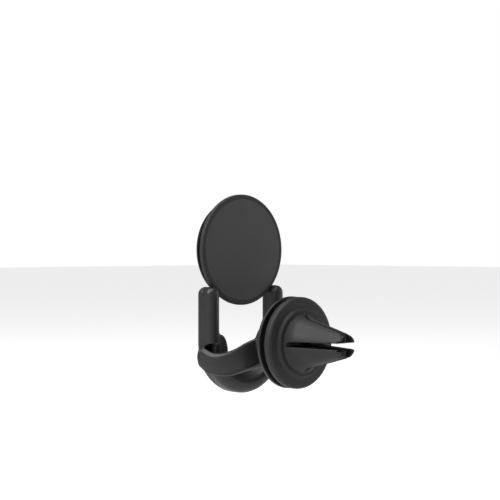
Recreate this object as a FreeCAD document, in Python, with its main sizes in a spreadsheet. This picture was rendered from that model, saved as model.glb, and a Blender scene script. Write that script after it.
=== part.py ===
"""A car phone mount: a vent clip, a ball joint, a U-shaped cradle and the phone's pop-out grip.

Frame: +Z up, +Y the way the prongs point, X across the car. The origin is on the clip's axis, at the
root of the slot that the vent blade slides into. Everything is in millimetres.
"""

import FreeCAD, Part
import math
import os

import Sketcher

V = FreeCAD.Vector
doc = FreeCAD.newDocument("phone_mount")

# ---------------------------------------------------------------- driving dimensions

DIMENSIONS = {
    # clip: stations along +Y from the slot's root, and diameters
    "plate_dia": 31.8,
    "plate_thick": 1.1,
    "plate_front": -6.9,
    "plate_boss_dia": 10.4,
    "plate_boss_long": 0.9,
    "shank_dia": 20.8,
    "nut_dia": 31.6,
    "nut_back": -5.0,
    "nut_face": -2.1,
    "nut_round": 2.7,
    "collar_out_dia": 24.4,
    "collar_in_dia": 21.6,
    "collar_front": -1.0,
    "core_dia": 26.0,
    "core_thick": 2.1,
    "thread_gap": 0.35,
    "slip_ring_in": 21.0,
    "slip_ring_out": 22.4,
    "slip_ring_thick": 1.4,
    "flare_back": -0.9,
    "flare_dia": 19.7,
    "flare_long": 2.4,
    "cone_dia": 17.5,
    "finger_end": 17.0,
    "finger_end_dia": 8.8,
    "tip_end": 19.9,
    "tip_round": 2.2,
    "slot_root_wide": 1.7,
    "slot_tip_wide": 2.2,
    "flex_gap": 0.3,
    "liner_thick": 0.6,
    "liner_inset": 0.25,
    "edge_round": 0.3,
    "head_sink": 1.2,
    "head_room": 0.2,
    "collar_draft": 0.5,
    "lip_deep": 0.4,
    "lip_play": 0.05,
    "ring_play": 0.1,
    # ball joint
    "ball_dia": 9.0,
    "ball_behind_root": 15.0,
    "neck_dia": 4.6,
    "stud_collar_dia": 8.0,
    "stud_collar_thick": 0.8,
    "stud_shank_dia": 4.6,
    "screw_dia": 2.5,
    "screw_head_dia": 5.6,
    "screw_head_tall": 1.8,
    "washer_thick": 0.5,
    "running_gap": 0.05,
    "socket_liner_thick": 0.65,
    "socket_liner_front": 2.2,
    "socket_liner_back": 3.4,
    "socket_wall": 0.9,
    "ring_thick": 2.0,
    "ring_wall": 0.8,
    "mouth": 3.0,
    "split_wide": 0.6,
    # cradle
    "leg_wide": 5.2,
    "leg_deep": 7.8,
    "leg_gap": 26.5,
    "leg_round": 2.2,
    "leg_top": 18.95,
    "bend_drop": 0.7,
    "cradle_behind_root": 36.0,
    "band_half_wide": 20.8,
    "band_reach": 15.4,
    "band_thick": 1.7,
    "band_start": 32.0,
    "band_tail": 3.2,
    "gusset_thick": 2.1,
    "gusset_inset": 0.3,
    "gusset_reach": 3.35,
    "gusset_top": 2.2,
    "gusset_tip": -4.4,
    "gusset_foot": -9.8,
    "apron_thick": 2.0,
    "apron_inset": 0.8,
    "apron_top": -8.5,
    # pop-out grip
    "disc_dia": 39.9,
    "disc_deep": 1.9,
    "disc_round": 1.1,
    "disc_back_round": 0.7,
    "disc_rise": 32.05,
    "disc_front": -31.1,
    "disc_wall": 1.5,
    "face_dia": 36.8,
    "face_thick": 0.6,
    "disc_skin": 0.8,
    "seat_gap": 0.15,
    "pad_dia": 35.2,
    "base_dia": 35.8,
    "pad_thick": 0.75,
    "phone_side": -37.0,
    "base_thick": 0.7,
    "hub_wall": 1.2,
    "hub_tall": 0.9,
    "hub_inset": 1.5,
    "fold_deep": 1.5,
    "snap_thick": 0.8,
    "bellows_dia": 30.0,
    "bellows_neck_dia": 18.0,
    "platform_dia": 27.0,
    "platform_thick": 0.8,
    "platform_hub_dia": 8.0,
}

sheet = doc.addObject("Spreadsheet::Sheet", "Dims")
for row, (alias, value) in enumerate(DIMENSIONS.items(), start=1):
    sheet.set(f"A{row}", alias)
    sheet.set(f"B{row}", str(value))
    sheet.setAlias(f"B{row}", alias)
doc.recompute()


class Size:
    """A length with its formula, so that a feature can be bound to the sheet by the same words."""

    def __init__(self, value, formula):
        self.value = value
        self.formula = formula

    def joined(self, other, sign, value):
        return Size(value, f"({self.formula} {sign} {formula_of(other)})")

    def __add__(self, other):
        return self.joined(other, "+", self.value + value_of(other))

    def __sub__(self, other):
        return self.joined(other, "-", self.value - value_of(other))

    def __mul__(self, other):
        return self.joined(other, "*", self.value * value_of(other))

    def __truediv__(self, other):
        return self.joined(other, "/", self.value / value_of(other))

    def __neg__(self):
        return Size(-self.value, f"(0 - {self.formula})")


def value_of(size):
    return size.value if isinstance(size, Size) else float(size)


def formula_of(size):
    return size.formula if isinstance(size, Size) else str(size)


D = {alias: Size(value, f"Dims.{alias}") for alias, value in DIMENSIONS.items()}

finished = []


def finish(feature, label):
    """Keeps a feature as the solid of one sub-part."""
    feature.Label = label
    finished.append(feature)
    return feature


# ---------------------------------------------------------------- ways of making a piece


def bind(feature, **sizes):
    """Binds a feature's properties to the sheet, such as Radius or Placement_Base_y."""
    for name, size in sizes.items():
        feature.setExpression(name.replace("_", "."), formula_of(size))
    return feature


def origin_plane(body, role):
    return next(plane for plane in body.Origin.OriginFeatures if plane.Role == role)


def outline(body, name, points, role):
    """A closed sketch of straight runs, every corner held by two bound distances."""
    sketch = body.newObject("Sketcher::SketchObject", name)
    sketch.AttachmentSupport = [(origin_plane(body, role), "")]
    sketch.MapMode = "FlatFace"
    corners = [V(value_of(x), value_of(y), 0) for x, y in points]
    for index, corner in enumerate(corners):
        sketch.addGeometry(Part.LineSegment(corner, corners[(index + 1) % len(corners)]), False)
    for index in range(len(corners)):
        after = (index + 1) % len(corners)
        sketch.addConstraint(Sketcher.Constraint("Coincident", index, 2, after, 1))
    for index, (x, y) in enumerate(points):
        for kind, size in (("DistanceX", x), ("DistanceY", y)):
            held = sketch.addConstraint(Sketcher.Constraint(kind, -1, 1, index, 1, value_of(size)))
            if isinstance(size, Size):
                sketch.setExpression(f"Constraints[{held}]", formula_of(size))
    return sketch


def turned(name, points, centre_z=None):
    """A body turned from (radius, y) points about the Y axis, or about its parallel at centre_z."""
    body = doc.addObject("PartDesign::Body", name)
    sketch = outline(body, f"{name}_outline", points, "XY_Plane")
    spin = body.newObject("PartDesign::Revolution", f"{name}_turned")
    spin.Profile = sketch
    spin.ReferenceAxis = (sketch, ["V_Axis"])
    spin.Angle = 360
    sketch.Visibility = False
    if centre_z is not None:
        bind(body, Placement_Base_z=centre_z)
    doc.recompute()
    return body


def softened(body, radius, *stations):
    """Rounds the circular edges of a turned body that lie at the (radius, y) stations given."""
    solid = body.Tip
    chosen = []
    for number, edge in enumerate(solid.Shape.Edges, start=1):
        if edge.Curve.TypeId != "Part::GeomCircle":
            continue
        for at_radius, at_y in stations:
            near_radius = abs(edge.Curve.Radius - value_of(at_radius)) < 0.02
            if near_radius and abs(edge.Curve.Center.y - value_of(at_y)) < 0.02:
                chosen.append(f"Edge{number}")
    fillet = body.newObject("PartDesign::Fillet", f"{body.Name}_rounds")
    fillet.Base = (solid, sorted(set(chosen)))
    fillet.Radius = value_of(radius)
    if isinstance(radius, Size):
        fillet.setExpression("Radius", formula_of(radius))
    doc.recompute()
    return body


def cylinder_y(name, radius, start, long, x=0, z=0):
    """A Part cylinder along +Y that starts at the station given."""
    made = doc.addObject("Part::Cylinder", name)
    made.Placement = FreeCAD.Placement(V(0, 0, 0), FreeCAD.Rotation(V(1, 0, 0), -90))
    return bind(
        made, Radius=radius, Height=long, Placement_Base_x=x, Placement_Base_y=start, Placement_Base_z=z
    )


def ball(name, radius, y, z=0):
    made = doc.addObject("Part::Sphere", name)
    return bind(made, Radius=radius, Placement_Base_y=y, Placement_Base_z=z)


def block(name, size, corner):
    """A Part box of three sizes from its lowest corner."""
    made = doc.addObject("Part::Box", name)
    return bind(
        made,
        Length=size[0],
        Width=size[1],
        Height=size[2],
        Placement_Base_x=corner[0],
        Placement_Base_y=corner[1],
        Placement_Base_z=corner[2],
    )


def cut(name, base, tool):
    made = doc.addObject("Part::Cut", name)
    made.Base, made.Tool = base, tool
    return made


def fuse(name, *shapes):
    made = doc.addObject("Part::MultiFuse", name)
    made.Shapes = list(shapes)
    made.Refine = True
    return made


def common(name, *shapes):
    made = doc.addObject("Part::MultiCommon", name)
    made.Shapes = list(shapes)
    return made


# ---------------------------------------------------------------- clip: plate, hub and ball stud

gap = D["running_gap"]
ball_y = -D["ball_behind_root"]
plate_back = D["plate_front"] - D["plate_thick"]
boss_back = plate_back - D["plate_boss_long"]
shank_hole = D["stud_shank_dia"] / 2 + gap
screw_hole = D["screw_dia"] / 2 + gap

plate = turned(
    "back_plate",
    [
        (shank_hole, boss_back),
        (D["plate_boss_dia"] / 2, boss_back),
        (D["plate_boss_dia"] / 2, plate_back),
        (D["plate_dia"] / 2, plate_back),
        (D["plate_dia"] / 2, D["plate_front"]),
        (shank_hole, D["plate_front"]),
    ],
)
softened(
    plate,
    D["edge_round"],
    (D["plate_dia"] / 2, plate_back),
    (D["plate_dia"] / 2, D["plate_front"]),
    (D["plate_boss_dia"] / 2, boss_back),
)
finish(plate, "back_plate")

root_front = -(D["flex_gap"] / 2)
head_back = root_front - D["screw_head_tall"] - D["head_sink"]
washer_back = head_back - D["washer_thick"]
head_room = D["screw_head_dia"] / 2 + D["head_room"]
hub = turned(
    "clip_hub",
    [
        (screw_hole, D["plate_front"]),
        (D["shank_dia"] / 2, D["plate_front"]),
        (D["shank_dia"] / 2, D["flare_back"]),
        (D["flare_dia"] / 2, root_front),
        (head_room, root_front),
        (head_room, washer_back),
        (screw_hole, washer_back),
    ],
)
finish(hub, "clip_hub")

ball_radius = D["ball_dia"] / 2
neck = cylinder_y("stud_neck", D["neck_dia"] / 2, ball_y, boss_back - ball_y - gap * 2)
collar = cylinder_y(
    "stud_collar",
    D["stud_collar_dia"] / 2,
    boss_back - D["stud_collar_thick"] - gap * 2,
    D["stud_collar_thick"],
)
shank = cylinder_y(
    "stud_shank", D["stud_shank_dia"] / 2, boss_back - gap * 4, D["plate_front"] - boss_back + gap * 2
)
stud_solid = fuse("stud_solid", ball("stud_ball", ball_radius, ball_y), neck, collar, shank)
thread_hole = cylinder_y("stud_thread_hole", screw_hole, ball_y, D["ball_behind_root"])
finish(cut("ball_stud", stud_solid, thread_hole), "ball_stud")

screw_long = D["ball_behind_root"] * 0.55
screw_shaft = cylinder_y("screw_shaft", D["screw_dia"] / 2, head_back - screw_long, screw_long)
screw_head = cylinder_y("screw_head", D["screw_head_dia"] / 2, head_back, D["screw_head_tall"])
recess = doc.addObject("Part::Prism", "screw_recess")
recess.Polygon = 6
recess.Placement = FreeCAD.Placement(V(0, 0, 0), FreeCAD.Rotation(V(1, 0, 0), -90))
bind(
    recess,
    Circumradius=D["screw_head_dia"] / 4,
    Height=D["screw_head_tall"],
    Placement_Base_y=head_back + D["screw_head_tall"] / 2,
)
finish(cut("stud_screw", fuse("screw_solid", screw_shaft, screw_head), recess), "stud_screw")

washer_solid = cylinder_y(
    "washer_solid", D["screw_head_dia"] / 2 + gap, washer_back, D["washer_thick"]
)
washer_hole = cylinder_y("washer_hole", screw_hole, washer_back, D["washer_thick"])
finish(cut("stud_washer", washer_solid, washer_hole), "stud_washer")

# ---------------------------------------------------------------- lock nut and slip ring

core_radius = D["core_dia"] / 2
thread_radius = D["shank_dia"] / 2 + D["thread_gap"]
core_front = D["nut_back"] + D["core_thick"]
core = turned(
    "nut_core",
    [
        (thread_radius, D["nut_back"]),
        (core_radius, D["nut_back"]),
        (core_radius, core_front),
        (thread_radius, core_front),
    ],
)
finish(core, "nut_core")

lip_radius = D["collar_in_dia"] / 2
collar_rim = D["collar_out_dia"] / 2 - D["collar_draft"]
ring_room = D["slip_ring_out"] / 2 + D["ring_play"]
ring_front = D["collar_front"] - D["lip_deep"]
lip_back = ring_front + D["lip_play"]
ring_back = ring_front - D["slip_ring_thick"]
shell = turned(
    "nut_shell",
    [
        (core_radius, D["nut_back"]),
        (D["nut_dia"] / 2, D["nut_back"]),
        (D["nut_dia"] / 2, D["nut_face"]),
        (D["collar_out_dia"] / 2, D["nut_face"]),
        (collar_rim, D["collar_front"]),
        (lip_radius, D["collar_front"]),
        (lip_radius, lip_back),
        (ring_room, lip_back),
        (ring_room, core_front),
        (core_radius, core_front),
    ],
)
softened(shell, D["nut_round"], (D["nut_dia"] / 2, D["nut_face"]))
softened(
    shell, D["edge_round"], (D["nut_dia"] / 2, D["nut_back"]), (collar_rim, D["collar_front"])
)
finish(shell, "nut_shell")

slip_ring = turned(
    "slip_ring",
    [
        (D["slip_ring_in"] / 2, ring_back),
        (D["slip_ring_out"] / 2, ring_back),
        (D["slip_ring_out"] / 2, ring_front),
        (D["slip_ring_in"] / 2, ring_front),
    ],
)
finish(slip_ring, "slip_ring")

# ---------------------------------------------------------------- four fingers with rubber tips

finger_back = D["flex_gap"] / 2
tip_long = D["tip_end"] - D["finger_end"]
taper = (D["finger_end_dia"] - D["cone_dia"]) / (D["finger_end"] - D["flare_long"])
tip_dia = D["finger_end_dia"] + taper * tip_long
slot_lean = math.degrees(
    math.atan2(value_of(D["slot_tip_wide"] - D["slot_root_wide"]) / 2, value_of(D["tip_end"]))
)
strip_start = D["flare_long"] * 2
strip_long = D["finger_end"] - strip_start
strip_wide = D["finger_end_dia"] * 0.3


def cone_y(name, back_dia, front_dia, start, long):
    made = doc.addObject("Part::Cone", name)
    made.Placement = FreeCAD.Placement(V(0, 0, 0), FreeCAD.Rotation(V(1, 0, 0), -90))
    return bind(
        made, Radius1=back_dia / 2, Radius2=front_dia / 2, Height=long, Placement_Base_y=start
    )


def quarter(name, side_x, side_z):
    """The quarter of space that one finger fills: beyond both slots, which widen towards the tips."""
    made = doc.addObject("Part::Box", name)
    lean_x = FreeCAD.Rotation(V(0, 0, 1), -slot_lean * side_x)
    lean_z = FreeCAD.Rotation(V(1, 0, 0), slot_lean * side_z)
    size = D["shank_dia"]
    half_slot = D["slot_root_wide"] / 2
    corner = V(value_of(size) * (side_x - 1) / 2, 0, value_of(size) * (side_z - 1) / 2)
    at = V(value_of(half_slot) * side_x, 0, value_of(half_slot) * side_z)
    made.Placement = FreeCAD.Placement(at, lean_x * lean_z) * FreeCAD.Placement(corner, FreeCAD.Rotation())
    return bind(made, Length=size, Width=D["tip_end"] * 1.2, Height=size)


for tag, side_x, side_z in (
    ("upper_right", 1, 1),
    ("upper_left", -1, 1),
    ("lower_left", -1, -1),
    ("lower_right", 1, -1),
):
    flared_cone = turned(
        f"{tag}_cone",
        [
            (0, finger_back),
            (D["flare_dia"] / 2, finger_back),
            (D["cone_dia"] / 2, D["flare_long"]),
            (D["finger_end_dia"] / 2, D["finger_end"]),
            (0, D["finger_end"]),
        ],
    )
    shell_part = common(f"{tag}_quarter", flared_cone, quarter(f"{tag}_room", side_x, side_z))
    strip_in = (D["slot_root_wide"] / 2 + D["liner_inset"]) * side_x
    strip_x = strip_in + strip_wide * (side_x - 1) * 0.5
    strip_z = D["slot_tip_wide"] * (0.5 * side_z) + D["liner_thick"] * (side_z - 1) * 0.5
    strip_size = (strip_wide, strip_long, D["liner_thick"])
    groove = block(
        f"{tag}_groove",
        (strip_wide, strip_long + tip_long, D["liner_thick"] * 3),
        (strip_x, strip_start, strip_z - D["liner_thick"] * (1 + side_z)),
    )
    finish(cut(f"finger_{tag}", shell_part, groove), f"finger_{tag}")
    tip = cone_y(
        f"{tag}_tip_cone", D["finger_end_dia"], tip_dia, D["finger_end"], tip_long
    )
    rounded_tip = doc.addObject("Part::Fillet", f"{tag}_tip_round")
    rounded_tip.Base = tip
    doc.recompute()
    rim = next(
        number
        for number, edge in enumerate(tip.Shape.Edges, start=1)
        if edge.Closed and abs(edge.CenterOfMass.y - value_of(D["tip_end"])) < 0.01
    )
    rounded_tip.Edges = [(rim, value_of(D["tip_round"]), value_of(D["tip_round"]))]
    tip_room = quarter(f"{tag}_tip_room", side_x, side_z)
    tip_part = common(f"{tag}_tip_quarter", rounded_tip, tip_room)
    strip = block(f"{tag}_strip", strip_size, (strip_x, strip_start, strip_z))
    finish(fuse(f"pad_{tag}", tip_part, strip), f"pad_{tag}")

# ---------------------------------------------------------------- socket: liner, housing ring

liner_in = ball_radius + gap
liner_out = liner_in + D["socket_liner_thick"]
cavity = liner_out + gap
liner_ball = cut(
    "liner_ball", ball("liner_outside", liner_out, ball_y), ball("liner_inside", liner_in, ball_y)
)
liner_room = cylinder_y(
    "liner_room",
    D["ball_dia"],
    ball_y - D["socket_liner_back"],
    D["socket_liner_back"] + D["socket_liner_front"],
)
liner_cut = block(
    "liner_split",
    (D["split_wide"], D["ball_dia"] * 2, D["ball_dia"]),
    (-(D["split_wide"] / 2), ball_y - D["ball_dia"], -D["ball_dia"]),
)
finish(cut("socket_liner", common("liner_open", liner_ball, liner_room), liner_cut), "socket_liner")

ring_out = cavity + D["ring_wall"]
mouth_y = ball_y + D["mouth"]
ring_solid = cylinder_y("ring_solid", ring_out, mouth_y - D["ring_thick"], D["ring_thick"])
finish(cut("socket_ring", ring_solid, ball("ring_cavity", cavity, ball_y)), "socket_ring")

# ---------------------------------------------------------------- cradle: U, band, gussets and socket

inner = D["leg_gap"] / 2
outer = inner + D["leg_wide"]
bend_z = -D["bend_drop"]
leg_tip_radius = D["leg_wide"] / 2
cradle_back = -D["cradle_behind_root"]
leg_front = cradle_back + D["leg_deep"]


def u_outline(body):
    """Two legs with full-round tips, joined by a half circle below them."""
    sketch = body.newObject("Sketcher::SketchObject", "cradle_outline")
    sketch.AttachmentSupport = [(origin_plane(body, "XZ_Plane"), "")]
    sketch.MapMode = "FlatFace"
    low, high = value_of(bend_z), value_of(D["leg_top"] - leg_tip_radius)
    near, far, mid = value_of(inner), value_of(outer), value_of(inner + leg_tip_radius)
    tip = value_of(leg_tip_radius)

    def arc(x, y, radius, start, end):
        circle = Part.Circle(V(x, y, 0), V(0, 0, 1), radius)
        return sketch.addGeometry(Part.ArcOfCircle(circle, math.radians(start), math.radians(end)), False)

    def line(x, start, end):
        return sketch.addGeometry(Part.LineSegment(V(x, start, 0), V(x, end, 0)), False)

    outside = arc(0, low, far, 180, 360)
    right_out = line(far, low, high)
    right_tip = arc(mid, high, tip, 0, 180)
    right_in = line(near, high, low)
    inside = arc(0, low, near, 180, 360)
    left_in = line(-near, low, high)
    left_tip = arc(-mid, high, tip, 0, 180)
    left_out = line(-far, high, low)
    joints = (
        (outside, 2, right_out, 1),
        (right_out, 2, right_tip, 1),
        (right_tip, 2, right_in, 1),
        (right_in, 2, inside, 2),
        (inside, 1, left_in, 1),
        (left_in, 2, left_tip, 1),
        (left_tip, 2, left_out, 1),
        (left_out, 2, outside, 1),
    )
    for first, first_end, second, second_end in joints:
        sketch.addConstraint(Sketcher.Constraint("Tangent", first, first_end, second, second_end))
    sketch.addConstraint(Sketcher.Constraint("Coincident", outside, 3, inside, 3))
    sketch.addConstraint(Sketcher.Constraint("PointOnObject", outside, 3, -2))
    sketch.addConstraint(Sketcher.Constraint("Vertical", right_out))
    sketch.addConstraint(Sketcher.Constraint("Horizontal", right_tip, 3, left_tip, 3))
    for kind, places, size in (
        ("Radius", (outside,), outer),
        ("Radius", (inside,), inner),
        ("DistanceY", (-1, 1, outside, 3), bend_z),
        ("DistanceY", (-1, 1, right_tip, 3), D["leg_top"] - leg_tip_radius),
    ):
        held = sketch.addConstraint(Sketcher.Constraint(kind, *places, value_of(size)))
        sketch.setExpression(f"Constraints[{held}]", formula_of(size))
    return sketch


u_body = doc.addObject("PartDesign::Body", "cradle_u")
u_sketch = u_outline(u_body)
u_pad = u_body.newObject("PartDesign::Pad", "cradle_u_pad")
u_pad.Profile = u_sketch
bind(u_pad, Length=D["leg_deep"])
bind(u_body, Placement_Base_y=leg_front)
doc.recompute()
u_rounds = u_body.newObject("PartDesign::Fillet", "cradle_u_rounds")
flat_edges = [
    f"Edge{number}"
    for number, edge in enumerate(u_pad.Shape.Edges, start=1)
    if edge.BoundBox.YLength < 0.01
]
u_rounds.Base = (u_pad, flat_edges)
bind(u_rounds, Radius=D["leg_round"])
doc.recompute()

band_centre = -D["band_start"]
BAND_TOP = (
    (-36.0, -1.6),
    (-30.8, -2.3),
    (-27.5, -3.6),
    (-23.5, -3.1),
    (-21.4, -1.7),
    (-19.3, 0.7),
    (-16.0, 4.2),
)
BAND_FOOT = (
    (-16.0, -4.4),
    (-17.4, -8.1),
    (-19.8, -10.5),
    (-22.7, -11.8),
    (-25.4, -11.7),
    (-29.3, -11.0),
    (-36.0, -10.4),
)


def slab(half_wide, top, foot):
    """A bar across X whose side view runs along the top points and back along the foot points."""
    runs = []
    for points in (top, foot):
        curve = Part.BSplineCurve()
        curve.interpolate([V(-half_wide, y, z) for y, z in points])
        runs.append(curve.toShape())
    ends = [Part.makeLine(runs[0].lastVertex().Point, runs[1].firstVertex().Point)]
    ends.append(Part.makeLine(runs[1].lastVertex().Point, runs[0].firstVertex().Point))
    face = Part.Face(Part.Wire([runs[0], ends[0], runs[1], ends[1]]))
    return face.extrude(V(2 * half_wide, 0, 0))


def band_solid():
    """The band round the front of the legs: an elliptical tube whose tails curl in behind them."""
    half_wide, thick = value_of(D["band_half_wide"]), value_of(D["band_thick"])
    tall = value_of(D["leg_top"])
    middle = V(0, value_of(band_centre), -tall)

    def half_tube(reach, side):
        """Half of the tube, on the +Y or -Y side of its widest line."""
        halves = []
        for less in (0, thick):
            across, along = half_wide - less, reach - less
            axes = [V(across, 0, 0), V(0, along, 0)]
            axes.sort(key=lambda axis: -axis.Length)
            ellipse = Part.Ellipse(middle + axes[0], middle + axes[1], middle)
            halves.append(Part.Face(Part.Wire(ellipse.toShape())).extrude(V(0, 0, 2 * tall)))
        corner = middle - V(half_wide, 0 if side > 0 else reach, 0)
        return halves[0].cut(halves[1]).common(Part.makeBox(2 * half_wide, reach, 2 * tall, corner))

    inside_legs = value_of(D["leg_gap"] / 2 + D["leg_round"])
    corner = middle - V(inside_legs, half_wide, 0)
    between_legs = Part.makeBox(2 * inside_legs, half_wide, 2 * tall, corner)
    tails = half_tube(value_of(D["band_tail"]), -1).cut(between_legs)
    wall = half_tube(value_of(D["band_reach"]), 1).fuse(tails)
    return wall.common(slab(half_wide + 1, BAND_TOP, BAND_FOOT))


def gusset_solid(side):
    """A plate inside the foot of one leg, set back from its front, with a quarter-round top."""
    names = ("gusset_reach", "gusset_top", "gusset_tip", "gusset_foot", "gusset_thick")
    reach, rise, ends, low, thick = (value_of(D[name]) for name in names)
    leg_side = value_of(inner)
    root = leg_side + value_of(D["leg_round"])
    back = value_of(leg_front - D["gusset_inset"]) - thick
    diagonal = math.sqrt(0.5)
    top = V(side * leg_side, back, rise)
    tip = V(side * (leg_side - reach), back, ends)
    middle = V(side * (leg_side - reach * diagonal), back, ends + (rise - ends) * diagonal)
    foot = [V(tip.x, back, low), V(side * root, back, low), V(side * root, back, rise)]
    edges = [Part.Arc(top, middle, tip).toShape()]
    for first, second in zip([tip] + foot, foot + [top]):
        edges.append(Part.makeLine(first, second))
    return Part.Face(Part.Wire(edges)).extrude(V(0, thick, 0))


bands = doc.addObject("Part::Feature", "cradle_band")
bands.Shape = band_solid()
gussets = doc.addObject("Part::Feature", "cradle_gussets")
gussets.Shape = Part.makeCompound([gusset_solid(1), gusset_solid(-1)])

apron_radius = inner + D["leg_wide"] / 2
apron_disc = cylinder_y(
    "apron_disc", apron_radius, cradle_back + D["apron_inset"], D["apron_thick"], z=bend_z
)
apron_low = bend_z - apron_radius
apron_room = block(
    "apron_room",
    (apron_radius * 2, D["apron_thick"], D["apron_top"] - apron_low),
    (-apron_radius, cradle_back + D["apron_inset"], apron_low),
)
apron = common("apron", apron_disc, apron_room)

housing_radius = ring_out + gap + D["socket_wall"]
housing_room = cylinder_y(
    "housing_room", housing_radius * 2, ball_y - housing_radius * 2, housing_radius * 2 + D["mouth"]
)
housing = common("housing", ball("housing_ball", housing_radius, ball_y), housing_room)
frame_solid = fuse("frame_solid", u_body, bands, gussets, apron, housing)
socket_room = fuse(
    "socket_room",
    ball("cavity_ball", cavity, ball_y),
    cylinder_y("cavity_throat", cavity, ball_y, D["mouth"] + 1),
    cylinder_y("ring_seat", ring_out + 0.01, mouth_y - D["ring_thick"], D["ring_thick"] + 1),
)
disc_back = D["disc_front"] - D["disc_deep"]
rim_seat = cylinder_y(
    "rim_seat", D["disc_dia"] / 2 + D["seat_gap"], cradle_back - 1, D["leg_deep"] + 2, z=D["disc_rise"]
)
cradle = cut("cradle_frame", cut("frame_bored", frame_solid, socket_room), rim_seat)
finish(cradle, "cradle_frame")

# ---------------------------------------------------------------- pop-out grip, pressed flat

rise = D["disc_rise"]
pad_front = D["phone_side"] + D["pad_thick"]
pad = turned(
    "adhesive_pad",
    [
        (0, D["phone_side"]),
        (D["pad_dia"] / 2, D["phone_side"]),
        (D["pad_dia"] / 2, pad_front),
        (0, pad_front),
    ],
    rise,
)
finish(pad, "adhesive_pad")

base_front = pad_front + D["base_thick"]
hub_radius = D["bellows_neck_dia"] / 2 - D["hub_inset"]
hub_hollow = hub_radius - D["hub_wall"]
hub_front = base_front + D["hub_tall"]
base = turned(
    "grip_base",
    [
        (0, pad_front),
        (D["base_dia"] / 2, pad_front),
        (D["base_dia"] / 2, base_front),
        (hub_radius, base_front),
        (hub_radius, hub_front),
        (hub_hollow, hub_front),
        (hub_hollow, base_front),
        (0, base_front),
    ],
    rise,
)
finish(base, "grip_base")

fold_back = base_front + gap
fold_front = base_front + D["fold_deep"]
bellows = turned(
    "bellows",
    [
        (D["bellows_neck_dia"] / 2, fold_back),
        (D["bellows_dia"] / 2, fold_back),
        (D["bellows_dia"] / 2, fold_front),
        (D["bellows_neck_dia"] / 2, fold_front),
    ],
    rise,
)
finish(bellows, "bellows")

snap_in = hub_radius + D["ring_play"]
snap_out = D["bellows_neck_dia"] / 2 - D["ring_play"]
snap_front = base_front + D["snap_thick"]
snap_ring = turned(
    "snap_ring",
    [
        (snap_in, base_front),
        (snap_out, base_front),
        (snap_out, snap_front),
        (snap_in, snap_front),
    ],
    rise,
)
finish(snap_ring, "snap_ring")

skin_back = D["disc_front"] - D["face_thick"] - D["disc_skin"]
platform_back = fold_front + gap
platform_front = platform_back + D["platform_thick"]
platform = turned(
    "grip_platform",
    [
        (0, platform_back),
        (D["platform_dia"] / 2, platform_back),
        (D["platform_dia"] / 2, platform_front),
        (D["platform_hub_dia"] / 2, platform_front),
        (D["platform_hub_dia"] / 2, skin_back - gap),
        (0, skin_back - gap),
    ],
    rise,
)
finish(platform, "grip_platform")

disc = turned(
    "disc_shell",
    [
        (0, skin_back),
        (D["disc_dia"] / 2 - D["disc_wall"], skin_back),
        (D["disc_dia"] / 2 - D["disc_wall"], disc_back),
        (D["disc_dia"] / 2, disc_back),
        (D["disc_dia"] / 2, D["disc_front"]),
        (D["face_dia"] / 2, D["disc_front"]),
        (D["face_dia"] / 2, D["disc_front"] - D["face_thick"]),
        (0, D["disc_front"] - D["face_thick"]),
    ],
    rise,
)
softened(disc, D["disc_round"], (D["disc_dia"] / 2, D["disc_front"]))
softened(disc, D["disc_back_round"], (D["disc_dia"] / 2, disc_back))
finish(disc, "disc_shell")

face_back = D["disc_front"] - D["face_thick"]
face_radius = D["face_dia"] / 2 - gap
face = turned(
    "disc_face",
    [
        (0, face_back),
        (face_radius, face_back),
        (face_radius, D["disc_front"]),
        (0, D["disc_front"]),
    ],
    rise,
)
finish(face, "disc_face")

# ---------------------------------------------------------------- check and write

doc.recompute()
faults = [f"{item.Name}: {item.State}" for item in doc.Objects if {"Invalid", "Error"} & set(item.State)]
for item in finished:
    shape = item.Shape
    if shape.isNull() or not shape.isValid() or not shape.Solids:
        faults.append(f"{item.Label}: no valid solid")
if faults:
    raise RuntimeError("; ".join(faults))

os.makedirs("parts", exist_ok=True)
for item in finished:
    item.Shape.exportStep(f"parts/{item.Label}.step")
    print(item.Label, len(item.Shape.Solids), round(item.Shape.Volume, 1))
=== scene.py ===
import math

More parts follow.
